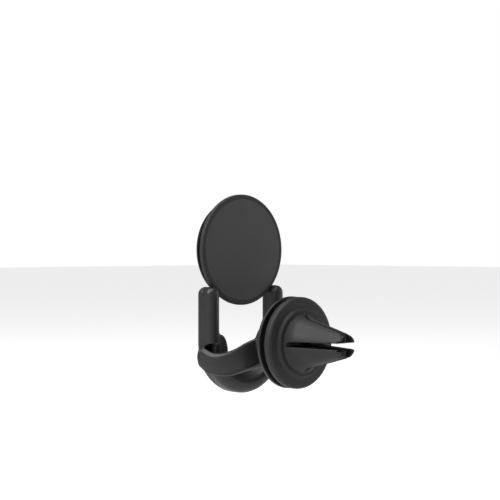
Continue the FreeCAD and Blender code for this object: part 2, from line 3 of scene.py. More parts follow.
import bmesh
import bpy
import numpy as np
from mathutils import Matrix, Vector


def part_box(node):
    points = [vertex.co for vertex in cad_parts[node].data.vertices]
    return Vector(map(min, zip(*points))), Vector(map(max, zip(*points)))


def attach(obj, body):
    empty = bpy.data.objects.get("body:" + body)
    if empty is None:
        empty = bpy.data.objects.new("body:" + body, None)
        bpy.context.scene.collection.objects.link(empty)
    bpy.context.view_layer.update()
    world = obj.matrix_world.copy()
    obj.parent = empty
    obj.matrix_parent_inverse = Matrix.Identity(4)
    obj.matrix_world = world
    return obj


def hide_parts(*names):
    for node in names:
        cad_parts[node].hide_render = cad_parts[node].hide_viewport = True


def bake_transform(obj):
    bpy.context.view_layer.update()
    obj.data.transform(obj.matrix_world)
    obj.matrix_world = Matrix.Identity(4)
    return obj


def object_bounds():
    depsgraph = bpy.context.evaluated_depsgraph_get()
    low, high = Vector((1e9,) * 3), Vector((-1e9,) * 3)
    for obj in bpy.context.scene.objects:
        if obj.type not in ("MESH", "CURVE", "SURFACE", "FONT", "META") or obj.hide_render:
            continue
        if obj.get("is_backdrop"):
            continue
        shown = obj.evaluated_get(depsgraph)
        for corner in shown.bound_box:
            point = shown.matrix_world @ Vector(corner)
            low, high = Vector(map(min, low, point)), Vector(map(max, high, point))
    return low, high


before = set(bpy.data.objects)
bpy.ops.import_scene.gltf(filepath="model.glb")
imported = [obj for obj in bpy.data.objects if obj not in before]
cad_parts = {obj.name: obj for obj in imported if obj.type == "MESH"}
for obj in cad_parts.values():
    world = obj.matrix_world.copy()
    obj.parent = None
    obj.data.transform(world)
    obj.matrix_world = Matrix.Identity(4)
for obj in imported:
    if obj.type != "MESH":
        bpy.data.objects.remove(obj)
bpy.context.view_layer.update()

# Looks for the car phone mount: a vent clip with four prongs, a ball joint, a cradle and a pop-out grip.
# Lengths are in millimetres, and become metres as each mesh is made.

MM = 0.001

# ---------------------------------------------------------------- clip hub
# The hub is one black acetal moulding, turned by the mould's round cores: a coarse outside thread for
# the lock nut, then a short cone that the four prongs grow out of. A screw pulls it onto the plate.


def node_group(name, inputs, outputs):
    """An empty shader group with named sockets, and its two end nodes."""
    group = bpy.data.node_groups.new(name, "ShaderNodeTree")
    for label, value in inputs:
        socket = group.interface.new_socket(label, in_out="INPUT", socket_type="NodeSocketFloat")
        socket.default_value = value
    for label in outputs:
        group.interface.new_socket(label, in_out="OUTPUT", socket_type="NodeSocketFloat")
    return group, group.nodes.new("NodeGroupInput"), group.nodes.new("NodeGroupOutput")


def math_node(group, operation, first, second, clamp=False):
    """A Math node fed by sockets or plain numbers; returns its output."""
    node = group.nodes.new("ShaderNodeMath")
    node.operation = operation
    node.use_clamp = clamp
    for slot, source in enumerate((first, second)):
        if isinstance(source, (int, float)):
            node.inputs[slot].default_value = source
        else:
            group.links.new(source, node.inputs[slot])
    return node.outputs[0]


def noise_node(group, where, scale, detail, roughness=0.55):
    node = group.nodes.new("ShaderNodeTexNoise")
    node.inputs["Detail"].default_value = detail
    node.inputs["Roughness"].default_value = roughness
    group.links.new(where, node.inputs["Vector"])
    if isinstance(scale, (int, float)):
        node.inputs["Scale"].default_value = scale
    else:
        group.links.new(scale, node.inputs["Scale"])
    return node.outputs["Fac"]


def mould_grain_group():
    """The fine spark-eroded grain of a mould: a height for bump, and a slow unevenness of sheen."""
    group, given, result = node_group(
        "mould_grain", [("Grain per metre", 2600.0), ("Drift per metre", 90.0)], ["Height", "Sheen"]
    )
    place = group.nodes.new("ShaderNodeTexCoord").outputs["Object"]
    fine = noise_node(group, place, given.outputs["Grain per metre"], 3.0, 0.6)
    cells = group.nodes.new("ShaderNodeTexVoronoi")
    cells.feature = "SMOOTH_F1"
    group.links.new(place, cells.inputs["Vector"])
    group.links.new(given.outputs["Grain per metre"], cells.inputs["Scale"])
    height = math_node(group, "ADD", fine, math_node(group, "MULTIPLY", cells.outputs["Distance"], 0.5))
    slow = noise_node(group, place, given.outputs["Drift per metre"], 2.0)
    slow_share = math_node(group, "MULTIPLY", slow, 0.7)
    mixed = math_node(group, "ADD", slow_share, math_node(group, "MULTIPLY", fine, 0.3))
    group.links.new(height, result.inputs["Height"])
    group.links.new(math_node(group, "SUBTRACT", mixed, 0.5), result.inputs["Sheen"])
    return group


def edge_wear_group():
    """Where edges are rubbed: a mask that is 1 on a worn ridge, broken up by a patchy noise."""
    group, given, result = node_group(
        "edge_wear", [("Width", 0.0004), ("Patches per metre", 500.0)], ["Mask"]
    )
    bevel = group.nodes.new("ShaderNodeBevel")
    bevel.samples = 4
    group.links.new(given.outputs["Width"], bevel.inputs["Radius"])
    true_normal = group.nodes.new("ShaderNodeNewGeometry").outputs["Normal"]
    facing = group.nodes.new("ShaderNodeVectorMath")
    facing.operation = "DOT_PRODUCT"
    group.links.new(bevel.outputs["Normal"], facing.inputs[0])
    group.links.new(true_normal, facing.inputs[1])
    bend = math_node(group, "SUBTRACT", 1.0, facing.outputs["Value"])
    ridge = math_node(group, "MULTIPLY", bend, 9.0, clamp=True)
    place = group.nodes.new("ShaderNodeTexCoord").outputs["Object"]
    patches = noise_node(group, place, given.outputs["Patches per metre"], 4.0, 0.7)
    broken = math_node(group, "MULTIPLY", math_node(group, "SUBTRACT", patches, 0.38), 3.2, clamp=True)
    group.links.new(math_node(group, "MULTIPLY", ridge, broken), result.inputs["Mask"])
    return group


def handling_group():
    """Traces of handling: sparse specks of dust and hairline scuffs, as two masks."""
    group, given, result = node_group(
        "handling", [("Specks per metre", 700.0), ("Speck size", 0.12)], ["Dust", "Scuffs"]
    )
    place = group.nodes.new("ShaderNodeTexCoord").outputs["Object"]
    specks = group.nodes.new("ShaderNodeTexVoronoi")
    group.links.new(place, specks.inputs["Vector"])
    group.links.new(given.outputs["Specks per metre"], specks.inputs["Scale"])
    near = math_node(group, "LESS_THAN", specks.outputs["Distance"], given.outputs["Speck size"])
    thin_out = math_node(group, "GREATER_THAN", noise_node(group, place, 160.0, 2.0), 0.6)
    group.links.new(math_node(group, "MULTIPLY", near, thin_out), result.inputs["Dust"])
    stretch = group.nodes.new("ShaderNodeMapping")
    stretch.inputs["Scale"].default_value = (1.0, 0.12, 1.0)
    stretch.inputs["Rotation"].default_value = (0.4, 0.2, 0.7)
    group.links.new(place, stretch.inputs["Vector"])
    streaks = noise_node(group, stretch.outputs["Vector"], 900.0, 1.0, 0.4)
    off_middle = math_node(group, "ABSOLUTE", math_node(group, "SUBTRACT", streaks, 0.5), 0.0)
    lines = math_node(group, "SUBTRACT", 1.0, math_node(group, "MULTIPLY", off_middle, 60.0), clamp=True)
    some = math_node(group, "GREATER_THAN", noise_node(group, place, 60.0, 2.0), 0.56)
    group.links.new(math_node(group, "MULTIPLY", lines, some), result.inputs["Scuffs"])
    return group


mould_grain = mould_grain_group()
edge_wear = edge_wear_group()
handling = handling_group()


def moulded_finish(
    name,
    colour,
    worn_colour,
    roughness,
    grain=2600.0,
    grain_depth=0.02,
    sheen=0.25,
    wear=0.5,
    wear_width=0.0004,
    dust=0.15,
    scuffs=0.05,
    specular=0.5,
):
    """A moulded plastic or rubber: its colour, rubbed edges, uneven sheen, grain, dust and scuffs."""
    made = bpy.data.materials.new(name)
    made.use_nodes = True
    tree = made.node_tree
    shader = tree.nodes["Principled BSDF"]
    shader.inputs["Specular IOR Level"].default_value = specular

    def placed(group, **values):
        node = tree.nodes.new("ShaderNodeGroup")
        node.node_tree = group
        for label, value in values.items():
            node.inputs[label.replace("_", " ")].default_value = value
        return node

    grain_node = placed(mould_grain, Grain_per_metre=grain)
    wear_node = placed(edge_wear, Width=wear_width)
    trace_node = placed(handling)

    def blended(amount, strength, under, over):
        mix = tree.nodes.new("ShaderNodeMix")
        mix.data_type = "RGBA"
        tree.links.new(math_node(tree, "MULTIPLY", amount, strength), mix.inputs["Factor"])
        if isinstance(under, tuple):
            mix.inputs["A"].default_value = (*under, 1.0)
        else:
            tree.links.new(under, mix.inputs["A"])
        mix.inputs["B"].default_value = (*over, 1.0)
        return mix.outputs["Result"]

    drift = math_node(tree, "ADD", grain_node.outputs["Sheen"], 0.5)
    lighter = tuple(min(1.0, channel * 1.35 + 0.002) for channel in colour)
    shade = blended(drift, 0.6, colour, lighter)
    shade = blended(wear_node.outputs["Mask"], wear, shade, worn_colour)
    shade = blended(trace_node.outputs["Dust"], dust, shade, (0.32, 0.31, 0.29))
    tree.links.new(shade, shader.inputs["Base Color"])
    uneven = math_node(tree, "MULTIPLY", grain_node.outputs["Sheen"], sheen)
    rough = math_node(tree, "ADD", uneven, roughness)
    for sign, mask, strength in (
        ("SUBTRACT", wear_node.outputs["Mask"], 0.08),
        ("ADD", trace_node.outputs["Scuffs"], scuffs),
        ("ADD", trace_node.outputs["Dust"], 0.2),
    ):
        rough = math_node(tree, sign, rough, math_node(tree, "MULTIPLY", mask, strength))
    tree.links.new(rough, shader.inputs["Roughness"])
    bump = tree.nodes.new("ShaderNodeBump")
    bump.inputs["Distance"].default_value = grain_depth * MM
    bump.inputs["Strength"].default_value = 0.6
    tree.links.new(grain_node.outputs["Height"], bump.inputs["Height"])
    tree.links.new(bump.outputs["Normal"], shader.inputs["Normal"])
    return made


satin_black = moulded_finish(
    "satin_black_plastic",
    (0.013, 0.013, 0.0135),
    (0.04, 0.04, 0.042),
    0.42,
    grain=2400.0,
    grain_depth=0.012,
)
dull_black = moulded_finish(
    "dull_black_plastic",
    (0.018, 0.018, 0.0185),
    (0.04, 0.04, 0.042),
    0.52,
    grain=2400.0,
    grain_depth=0.012,
    specular=0.3,
)


MERGE_WITHIN = 1e-6
SHARP_FROM = math.radians(40)


def mesh_piece(name, points, faces, material, body, nodes):
    """A smooth-shaded object from points in millimetres, in place of CAD nodes, riding on any body named."""
    mesh = bpy.data.meshes.new(name)
    mesh.from_pydata([tuple(float(c) * MM for c in point) for point in points], [], faces)
    work = bmesh.new()
    work.from_mesh(mesh)
    bmesh.ops.remove_doubles(work, verts=work.verts, dist=MERGE_WITHIN)
    bmesh.ops.dissolve_degenerate(work, edges=work.edges, dist=MERGE_WITHIN)
    bmesh.ops.recalc_face_normals(work, faces=work.faces)
    work.to_mesh(mesh)
    work.free()
    mesh.shade_smooth()
    mesh.set_sharp_from_angle(angle=SHARP_FROM)
    mesh.materials.append(material)
    piece = bpy.data.objects.new(name, mesh)
    bpy.context.scene.collection.objects.link(piece)
    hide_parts(*nodes)
    if body:
        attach(piece, body)
    return piece


ARC_STEPS = 7


def rounded(corners):
    """A closed outline whose (radius, y, rounding) corners are eased by arcs."""
    outline = []
    for index, (radius, along, ease) in enumerate(corners):
        here = Vector((radius, along))
        before = Vector(corners[index - 1][:2]) - here
        after = Vector(corners[(index + 1) % len(corners)][:2]) - here
        if ease <= 0:
            outline.append(here)
            continue
        half = before.angle(after) / 2
        reach = min(ease / math.tan(half), before.length * 0.49, after.length * 0.49)
        start, end = here + before.normalized() * reach, here + after.normalized() * reach
        between = (before.normalized() + after.normalized()).normalized()
        centre = here + between * (reach / math.cos(half))
        for step in range(ARC_STEPS + 1):
            spoke = (start - centre).lerp(end - centre, step / ARC_STEPS)
            outline.append(centre + spoke.normalized() * (start - centre).length)
    return outline


def turned(name, corners, material, body, nodes, axis_z=0.0, around=144, shift=None):
    """A piece turned about the line x = 0, z = axis_z; shift may move each point's radius by angle and y."""
    outline = rounded(corners)
    points, faces = [], []
    for turn in range(around):
        angle = 2 * math.pi * turn / around
        for corner in outline:
            radius = max(corner.x, 0.0)
            if shift:
                radius += shift(radius, corner.y, angle)
            points.append((radius * math.cos(angle), corner.y, axis_z + radius * math.sin(angle)))
    many = len(outline)
    for turn in range(around):
        other = (turn + 1) % around
        for index in range(many):
            after = (index + 1) % many
            here, there = turn * many, other * many
            faces.append((here + index, there + index, there + after, here + after))
    return mesh_piece(name, points, faces, material, body, nodes)


def span(node, axis):
    """A CAD node's lowest and highest place along an axis, in millimetres."""
    low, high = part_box(node)
    return low[axis] / MM, high[axis] / MM


hub_back, hub_front = span("clip_hub", 1)
hub_radius = span("clip_hub", 0)[1]
THREAD_PITCH = 3.0
THREAD_DEEP = 0.55
THREAD_END = -3.6
THREAD_POINTS, POINT_GAP = 22, 0.15
SHOULDER = 0.8
SEAM_SINK = 0.35
FLARE_BACK = -1.1
SCREW_HOLE = 1.4
WELL_MOUTH, WELL_FOOT, WELL_FLOOR = 3.2, 3.0, -3.9


def thread_wave(along, angle):
    """How far a point lies up the rounded side of the thread, from 0 at its root to 1."""
    turn = (along / THREAD_PITCH + angle / (2 * math.pi)) % 1.0
    return (0.5 + 0.5 * math.cos(2 * math.pi * turn)) ** 1.5


def thread_ridge(radius, along, angle):
    """The outside thread on the shank, which stops short of the cone."""
    if radius < hub_radius - SHOULDER or along > THREAD_END + 0.2:
        return 0.0
    return -THREAD_DEEP * thread_wave(along, angle)


turned(
    "clip_hub_moulding",
    [(SCREW_HOLE, hub_back, 0.0), (hub_radius, hub_back, 0.0)]
    + [(hub_radius, hub_back + POINT_GAP * step, 0.0) for step in range(1, THREAD_POINTS + 1)]
    + [
        (hub_radius, FLARE_BACK + 0.15, 0.0),
        (hub_radius - 0.5, FLARE_BACK + 0.2, 0.0),
        (hub_radius - SHOULDER, hub_front - SEAM_SINK, 0.0),
        (WELL_MOUTH, hub_front - SEAM_SINK, 0.3),
        (WELL_FOOT, WELL_FLOOR, 0.2),
        (SCREW_HOLE, WELL_FLOOR, 0.1),
    ],
    dull_black,
    "clip",
    ["clip_hub"],
    shift=thread_ridge,
)

# ---------------------------------------------------------------- back plate
# A thin round plate behind the nut, moulded in the same black plastic, with a small boss on its back
# that the ball stud's collar bears on. Its rim is a fine rounded bead that catches the light.

plate_back, plate_front = span("back_plate", 1)
plate_radius = span("back_plate", 0)[1]
plate_rear = plate_front - 1.1
plate_dish = plate_front - 0.2
STUD_HOLE = 2.35
BOSS_RADIUS, BOSS_FOOT = 5.2, 5.4
BEAD_ROUND = 0.32
turned(
    "back_plate_moulding",
    [
        (STUD_HOLE, plate_back, 0.15),
        (BOSS_RADIUS, plate_back, 0.3),
        (BOSS_FOOT, plate_rear, 0.3),
        (plate_radius - 1.0, plate_rear, 0.1),
        (plate_radius - 0.7, plate_rear - 0.08, 0.1),
        (plate_radius, plate_rear + 0.02, BEAD_ROUND),
        (plate_radius, plate_front, BEAD_ROUND),
        (plate_radius - 0.9, plate_front, 0.1),
        (plate_radius - 1.1, plate_dish, 0.1),
        (STUD_HOLE, plate_dish, 0.1),
    ],
    satin_black,
    "clip",
    ["back_plate"],
)

# ---------------------------------------------------------------- ball stud, washer and screw
# The stud is a smooth, harder plastic ball on a neck, gated at the ball's back. A blackened steel
# screw with a hexagon recess and a flat washer hold it from the front, deep between the prongs.

BALL_CENTRE = -15.0
ball_radius = span("ball_stud", 0)[1]
gloss_black = moulded_finish(
    "polished_black_acetal",
    (0.012, 0.012, 0.013),
    (0.05, 0.05, 0.052),
    0.2,
    grain=4200.0,
    grain_depth=0.003,
    wear=0.25,
    dust=0.05,
    scuffs=0.12,
)


def ball_arc(radius, start, end, steps):
    """Points of an arc round the ball's centre; angles are measured from +Y."""
    found = []
    for step in range(steps + 1):
        angle = math.radians(start + (end - start) * step / steps)
        found.append((radius * math.sin(angle), BALL_CENTRE + radius * math.cos(angle), 0.0))
    return found


NECK_RADIUS = 2.3
COLLAR_RADIUS = 4.0
neck_angle = math.degrees(math.asin(NECK_RADIUS / ball_radius))
turned(
    "ball_stud_moulding",
    [(0.0, BALL_CENTRE - ball_radius, 0.0)]
    + ball_arc(ball_radius, 176, neck_angle + 4, 34)
    + [
        (NECK_RADIUS, BALL_CENTRE + 4.3, 0.5),
        (NECK_RADIUS, plate_back - 1.3, 0.35),
        (COLLAR_RADIUS, plate_back - 0.9, 0.25),
        (COLLAR_RADIUS, plate_back - 0.1, 0.2),
        (NECK_RADIUS, plate_back - 0.1, 0.05),
        (NECK_RADIUS, hub_back - 0.1, 0.15),
        (0.0, hub_back - 0.1, 0.0),
    ],
    gloss_black,
    "stud",
    ["ball_stud"],
    around=96,
)

dark_steel = bpy.data.materials.new("blackened_steel")
dark_steel.use_nodes = True
steel_tree = dark_steel.node_tree
steel_shader = steel_tree.nodes["Principled BSDF"]
steel_shader.inputs["Metallic"].default_value = 1.0
steel_place = steel_tree.nodes.new("ShaderNodeTexCoord").outputs["Object"]
steel_ramp = steel_tree.nodes.new("ShaderNodeValToRGB")
steel_ramp.color_ramp.elements[0].color = (0.05, 0.05, 0.055, 1.0)
steel_ramp.color_ramp.elements[1].color = (0.12, 0.12, 0.12, 1.0)
steel_tree.links.new(noise_node(steel_tree, steel_place, 900.0, 4.0), steel_ramp.inputs["Fac"])
steel_tree.links.new(steel_ramp.outputs["Color"], steel_shader.inputs["Base Color"])
steel_rough = math_node(steel_tree, "MULTIPLY", noise_node(steel_tree, steel_place, 2400.0, 3.0), 0.5)
steel_tree.links.new(steel_rough, steel_shader.inputs["Roughness"])

screw_back, screw_front = span("stud_screw", 1)
screw_radius = span("stud_screw", 0)[1]
SCREW_SHAFT, SCREW_PITCH, SCREW_CUT = 1.22, 0.6, 0.22
SHAFT_POINTS, SHAFT_GAP = 74, 0.1
head_back = screw_front - 1.8
RECESS_RADIUS, RECESS_DEEP = 1.25, 1.25


def screw_thread(radius, along, angle):
    """The screw's sharp thread, which stops short of its head."""
    if abs(radius - SCREW_SHAFT) > 0.01 or along > head_back - 0.4:
        return 0.0
    return -SCREW_CUT * abs(2 * ((along / SCREW_PITCH + angle / (2 * math.pi)) % 1.0) - 1)


def recess_and_thread(radius, along, angle):
    """Pulls the recess's wall in to six flats, and cuts the thread."""
    if 0.5 < radius < 1.5 and along > screw_front - RECESS_DEEP:
        sector = (angle % (math.pi / 3)) - math.pi / 6
        return RECESS_RADIUS * (math.cos(math.pi / 6) / math.cos(sector)) - radius
    return screw_thread(radius, along, angle)


turned(
    "stud_screw_steel",
    [(0.0, screw_back, 0.0), (0.8, screw_back, 0.1)]
    + [(SCREW_SHAFT, screw_back + 0.4 + SHAFT_GAP * step, 0.0) for step in range(SHAFT_POINTS)]
    + [
        (SCREW_SHAFT, head_back, 0.1),
        (screw_radius, head_back, 0.15),
        (screw_radius, screw_front, 0.3),
        (RECESS_RADIUS + 0.15, screw_front, 0.0),
        (RECESS_RADIUS, screw_front - 0.12, 0.0),
        (RECESS_RADIUS, screw_front - 1.2, 0.0),
        (0.0, screw_front - 1.35, 0.0),
    ],
    dark_steel,
    "stud",
    ["stud_screw"],
    around=72,
    shift=recess_and_thread,
)

washer_back, washer_front = span("stud_washer", 1)
washer_radius = span("stud_washer", 0)[1]
WASHER_HOLE = 1.32
turned(
    "stud_washer_steel",
    [
        (WASHER_HOLE, washer_back, 0.08),
        (washer_radius, washer_back, 0.12),
        (washer_radius, washer_front, 0.12),
        (WASHER_HOLE, washer_front, 0.08),
    ],
    dark_steel,
    "stud",
    ["stud_washer"],
    around=72,
)

# ---------------------------------------------------------------- lock nut and slip ring
# A thick puck with a well rounded rim, moulded over a threaded core, that the hand turns. Its raised
# collar ends in a small lip; inside the lip a grey ring slips on the prongs, so they don't twist.

nut_back, nut_front = span("nut_shell", 1)
nut_radius = span("nut_shell", 0)[1]
NUT_FACE = -2.1
COLLAR = 12.2
RIM_ROUND = 2.75
LIP, LIP_BACK = 10.35, -1.35
RING_SEAT, CORE_SEAT, SEAT_STEP = 11.3, 13.0, -2.88
turned(
    "lock_nut_moulding",
    [
        (CORE_SEAT, nut_back, 0.0),
        (nut_radius - 0.5, nut_back, 0.2),
        (nut_radius, nut_back + 0.45, 0.4),
        (nut_radius, NUT_FACE, RIM_ROUND),
        (COLLAR + 0.15, NUT_FACE, 0.35),
        (COLLAR - 0.6, nut_front, 0.42),
        (LIP, nut_front, 0.25),
        (LIP, LIP_BACK, 0.1),
        (RING_SEAT, LIP_BACK, 0.0),
        (RING_SEAT, SEAT_STEP, 0.0),
        (CORE_SEAT, SEAT_STEP, 0.0),
    ],
    dull_black,
    "lock_nut",
    ["nut_shell"],
    around=192,
)

core_back, core_front = span("nut_core", 1)
core_radius = span("nut_core", 0)[1] - 0.02
CORE_IN = 10.95
CORE_THREAD_DEEP = 0.2
CORE_POINTS, CORE_GAP = 14, 0.14


def nut_thread(radius, along, angle):
    """The inside thread of the core."""
    if radius > CORE_IN + 0.25:
        return 0.0
    return -CORE_THREAD_DEEP * thread_wave(along, angle)


turned(
    "nut_core_moulding",
    [(CORE_IN, core_back, 0.05), (core_radius, core_back, 0.1), (core_radius, core_front, 0.1)]
    + [(CORE_IN, core_front - CORE_GAP * step, 0.0) for step in range(1, CORE_POINTS + 1)],
    satin_black,
    "lock_nut",
    ["nut_core"],
    shift=nut_thread,
)

grey_acetal = moulded_finish(
    "dull_grey_acetal",
    (0.03, 0.03, 0.032),
    (0.09, 0.09, 0.09),
    0.42,
    grain=3600.0,
    grain_depth=0.006,
    wear=0.3,
    dust=0.08,
)
slip_back, slip_front = span("slip_ring", 1)
SLIP_IN, SLIP_OUT = 10.52, 11.18
turned(
    "slip_ring_moulding",
    [
        (SLIP_IN, slip_back, 0.2),
        (SLIP_OUT, slip_back, 0.2),
        (SLIP_OUT, slip_front, 0.15),
        (SLIP_IN, slip_front, 0.25),
    ],
    grey_acetal,
    "slip_ring",
    ["slip_ring"],
)

# ---------------------------------------------------------------- four prongs
# Each prong is a quarter of the cone, moulded in one with the hub; the real prong bends at its root when
# the nut is turned, but here it is a fixed mesh on no body. The slots between them hold a vent blade either
# way up, and a round tunnel down the middle lets a driver reach the screw.


def smooth_max(first, second, ease):
    """The larger of two distances, with the crease between them rounded over."""
    blend = np.clip(ease - np.abs(first - second), 0, None) / ease
    return np.maximum(first, second) + blend * blend * ease / 4


def smooth_min(first, second, ease):
    return -smooth_max(-first, -second, ease)


PULLS = 3
CUBE = np.array([(i, j, k) for i in (0, 1) for j in (0, 1) for k in (0, 1)])


def skin_of(distance, low, high, step):
    """Points and four-sided faces on the surface where a distance field is zero.

    Each grid cell that the surface crosses gets one point, which is then pulled onto the surface.
    """
    axes = [np.arange(a - 2 * step, b + 2.5 * step, step) for a, b in zip(low, high)]
    grid = np.stack(np.meshgrid(*axes, indexing="ij"), axis=-1)
    value = distance(grid[..., 0], grid[..., 1], grid[..., 2])
    cells = tuple(count - 1 for count in value.shape)

    def corner(shift):
        return tuple(slice(s, s + n) for s, n in zip(shift, cells))

    inside = value < 0
    filled = sum(inside[corner(shift)].astype(np.int8) for shift in CUBE)
    crossed = (filled > 0) & (filled < 8)
    number = np.full(cells, -1)
    number[crossed] = np.arange(crossed.sum())
    total, hits = np.zeros((crossed.sum(), 3)), np.zeros(crossed.sum())
    for start in CUBE:
        for axis in range(3):
            if start[axis]:
                continue
            end = start.copy()
            end[axis] = 1
            first, second = value[corner(start)][crossed], value[corner(end)][crossed]
            cuts = (first < 0) != (second < 0)
            share = np.where(cuts, first / np.where(cuts, first - second, 1), 0)
            place = start + share[:, None] * (end - start)
            total += place * cuts[:, None]
            hits += cuts
    base = np.argwhere(crossed)
    points = np.array([axis[0] for axis in axes]) + (base + total / hits[:, None]) * step
    faces = []
    for axis in range(3):
        ahead, side, up = axis, (axis + 1) % 3, (axis + 2) % 3
        size = [n + 1 for n in cells]
        size[ahead] -= 1
        near = [slice(0, n) for n in size]
        far = list(near)
        far[ahead] = slice(1, size[ahead] + 1)
        changes = np.argwhere(inside[tuple(near)] != inside[tuple(far)])
        keep = (changes[:, side] > 0) & (changes[:, up] > 0)
        keep &= (changes[:, side] < cells[side]) & (changes[:, up] < cells[up])
        changes = changes[keep]
        ring = []
        for back_side, back_up in ((1, 1), (0, 1), (0, 0), (1, 0)):
            cell = changes.copy()
            cell[:, side] -= back_side
            cell[:, up] -= back_up
            ring.append(number[tuple(cell.T)])
        faces.append(np.stack(ring, axis=1))
    faces = np.concatenate(faces)
    reach = step * 0.25
    for _ in range(PULLS):
        here = distance(*points.T)
        slope = np.stack(
            [
                (distance(*(points + reach * unit).T) - distance(*(points - reach * unit).T)) / (2 * reach)
                for unit in np.eye(3)
            ],
            axis=1,
        )
        move = here[:, None] * slope / np.maximum((slope**2).sum(1), 0.2)[:, None]
        points = points - np.clip(move, -step, step)
    return points, [tuple(int(v) for v in face) for face in faces]


def shaped(name, distance, low, high, step, material, body, nodes):
    """A moulded piece whose form is a distance field, in millimetres."""
    points, faces = skin_of(distance, low, high, step)
    return mesh_piece(name, points, faces, material, body, nodes)


SLOT_HALF = 0.85
SLOT_ROOT = -0.55
SLOT_WIDENING = 0.0125
CONE_ROOT, CONE_SLOPE = 8.84, 0.261
CONE_TRUE = 0.93
FLARE_OUT, FLARE_LONG = 1.3, 2.9
prong_end = span("finger_upper_right", 1)[1]
tip_end = span("pad_upper_right", 1)[1]
DRIVER_TUNNEL = 1.9
STRIP_THICK = 0.6
STRIP_START = 4.8
STRIP_NEAR, STRIP_FAR, STRIP_SINK = 0.9, 3.9, 0.25
NOSE_ROUND = 1.1
NOSE_END = tip_end - 0.6
SEAM_START, SEAM_LEAN, SEAM_TRUE = 15.5, 0.96, 0.72
PRONG_GRID = 0.2
quick_step = 1.0


def quarter_distance(x, y, z, side_x, side_z):
    """How far a point lies outside the space between both slots, for one prong."""
    before_round = np.clip((SLOT_ROOT + SLOT_HALF - y) / SLOT_HALF, 0, 1)
    half_slot = (SLOT_HALF + SLOT_WIDENING * np.clip(y, 0, None)) * np.sqrt(1 - before_round**2)
    return smooth_max(half_slot - side_x * x, half_slot - side_z * z, 0.3)


def nose_distance(x, y, z):
    """The cone of all four prongs, flared at its root and domed at its end."""
    around = np.sqrt(x * x + z * z)
    flare = FLARE_OUT * np.clip(1 - (y - FLARE_BACK) / FLARE_LONG, 0, 1) ** 1.5
    cone = (around - (CONE_ROOT + flare - CONE_SLOPE * y)) * CONE_TRUE
    depth = np.stack([cone + NOSE_ROUND, y - NOSE_END + NOSE_ROUND])
    corner = np.sqrt((np.clip(depth, 0, None) ** 2).sum(0))
    return around, corner + np.minimum(depth.max(0), 0) - NOSE_ROUND


def seam_distance(x, y):
    """How far a point lies past the leaning seam between a prong and its rubber tip."""
    return (y - SEAM_START - SEAM_LEAN * np.abs(x)) * SEAM_TRUE


def prong_distance(x, y, z, side_x, side_z):
    """One prong, with the driver's tunnel and the groove for its rubber strip cut out."""
    around, nose = nose_distance(x, y, z)
    solid = smooth_max(nose, quarter_distance(x, y, z, side_x, side_z), 0.4)
    solid = smooth_max(solid, np.maximum(seam_distance(x, y), FLARE_BACK - y), 0.12)
    solid = smooth_max(solid, DRIVER_TUNNEL - around, 0.3)
    groove_x = np.maximum(side_x * x - STRIP_FAR, STRIP_NEAR - side_x * x)
    groove_z = side_z * z - (SLOT_HALF + STRIP_SINK + STRIP_THICK)
    groove = np.maximum(np.maximum(groove_x, groove_z), STRIP_START - y)
    return smooth_max(solid, -groove, 0.08)


PRONGS = (("upper_right", 1, 1), ("upper_left", -1, 1), ("lower_left", -1, -1), ("lower_right", 1, -1))


def quarter_box(side_x, side_z, start, end, wide):
    """The corners of the box round one prong."""
    low = (min(0, side_x * wide), start, min(0, side_z * wide))
    high = (max(0, side_x * wide), end, max(0, side_z * wide))
    return low, high


for tag, side_x, side_z in PRONGS:
    low, high = quarter_box(side_x, side_z, FLARE_BACK, tip_end, hub_radius)
    prong = shaped(
        f"prong_{tag}",
        lambda x, y, z, sx=side_x, sz=side_z: prong_distance(x, y, z, sx, sz),
        low,
        high,
        PRONG_GRID * quick_step,
        dull_black,
        None,
        [f"finger_{tag}"],
    )
    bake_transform(prong)

# ---------------------------------------------------------------- rubber tips
# A soft black rubber is moulded over each prong's end and along its inner face, where it grips the
# blade. The end is domed, and smoother and blacker than the plastic.

tip_rubber = moulded_finish(
    "smooth_black_rubber",
    (0.006, 0.006, 0.006),
    (0.02, 0.02, 0.02),
    0.3,
    grain=3000.0,
    grain_depth=0.004,
    sheen=0.3,
    wear=0.2,
    dust=0.15,
    scuffs=0.1,
    specular=0.2,
)
TIP_GRID = 0.15
TIP_REACH = 5.2
TIP_SINK, SLOT_SINK, SEAM_GAP = 0.1, 0.08, 0.03
STRIP_PLAY = 0.15
RIB_HIGH, RIB_PITCH, RIB_SIDE = 0.09, 1.1, 1.35


def tip_distance(x, y, z, side_x, side_z):
    """One prong's rubber: its domed end, and the ribbed strip in the prong's groove."""
    nose = nose_distance(x, y, z)[1] + TIP_SINK
    solid = smooth_max(nose, quarter_distance(x, y, z, side_x, side_z) + SLOT_SINK, 0.5)
    solid = smooth_max(solid, SEAM_GAP - seam_distance(x, y), 0.15)
    strip_x = np.maximum(side_x * x - (STRIP_FAR - STRIP_PLAY), STRIP_NEAR + STRIP_PLAY - side_x * x)
    strip_z = np.maximum(side_z * z - (SLOT_HALF + 0.22 + STRIP_THICK), SLOT_HALF + 0.2 - side_z * z)
    ribs = RIB_HIGH * np.sin(y * 2 * math.pi / RIB_PITCH)
    strip_y = np.maximum(STRIP_START + 0.1 - y, y - prong_end)
    strip = np.maximum(np.maximum(strip_x, strip_z - ribs * (side_z * z < RIB_SIDE)), strip_y)
    return smooth_min(solid, strip, 0.2)


for tag, side_x, side_z in PRONGS:
    low, high = quarter_box(side_x, side_z, STRIP_START, tip_end, TIP_REACH)
    shaped(
        f"rubber_tip_{tag}",
        lambda x, y, z, sx=side_x, sz=side_z: tip_distance(x, y, z, sx, sz),
        low,
        high,
        TIP_GRID * quick_step,
        tip_rubber,
        f"finger_{tag}",
        [f"pad_{tag}"],
    )

# ---------------------------------------------------------------- ball liner and socket ring
# A thin split shell of grey acetal wraps the ball and gives the joint its even drag. A black ring
# pressed into the socket's mouth keeps both in.

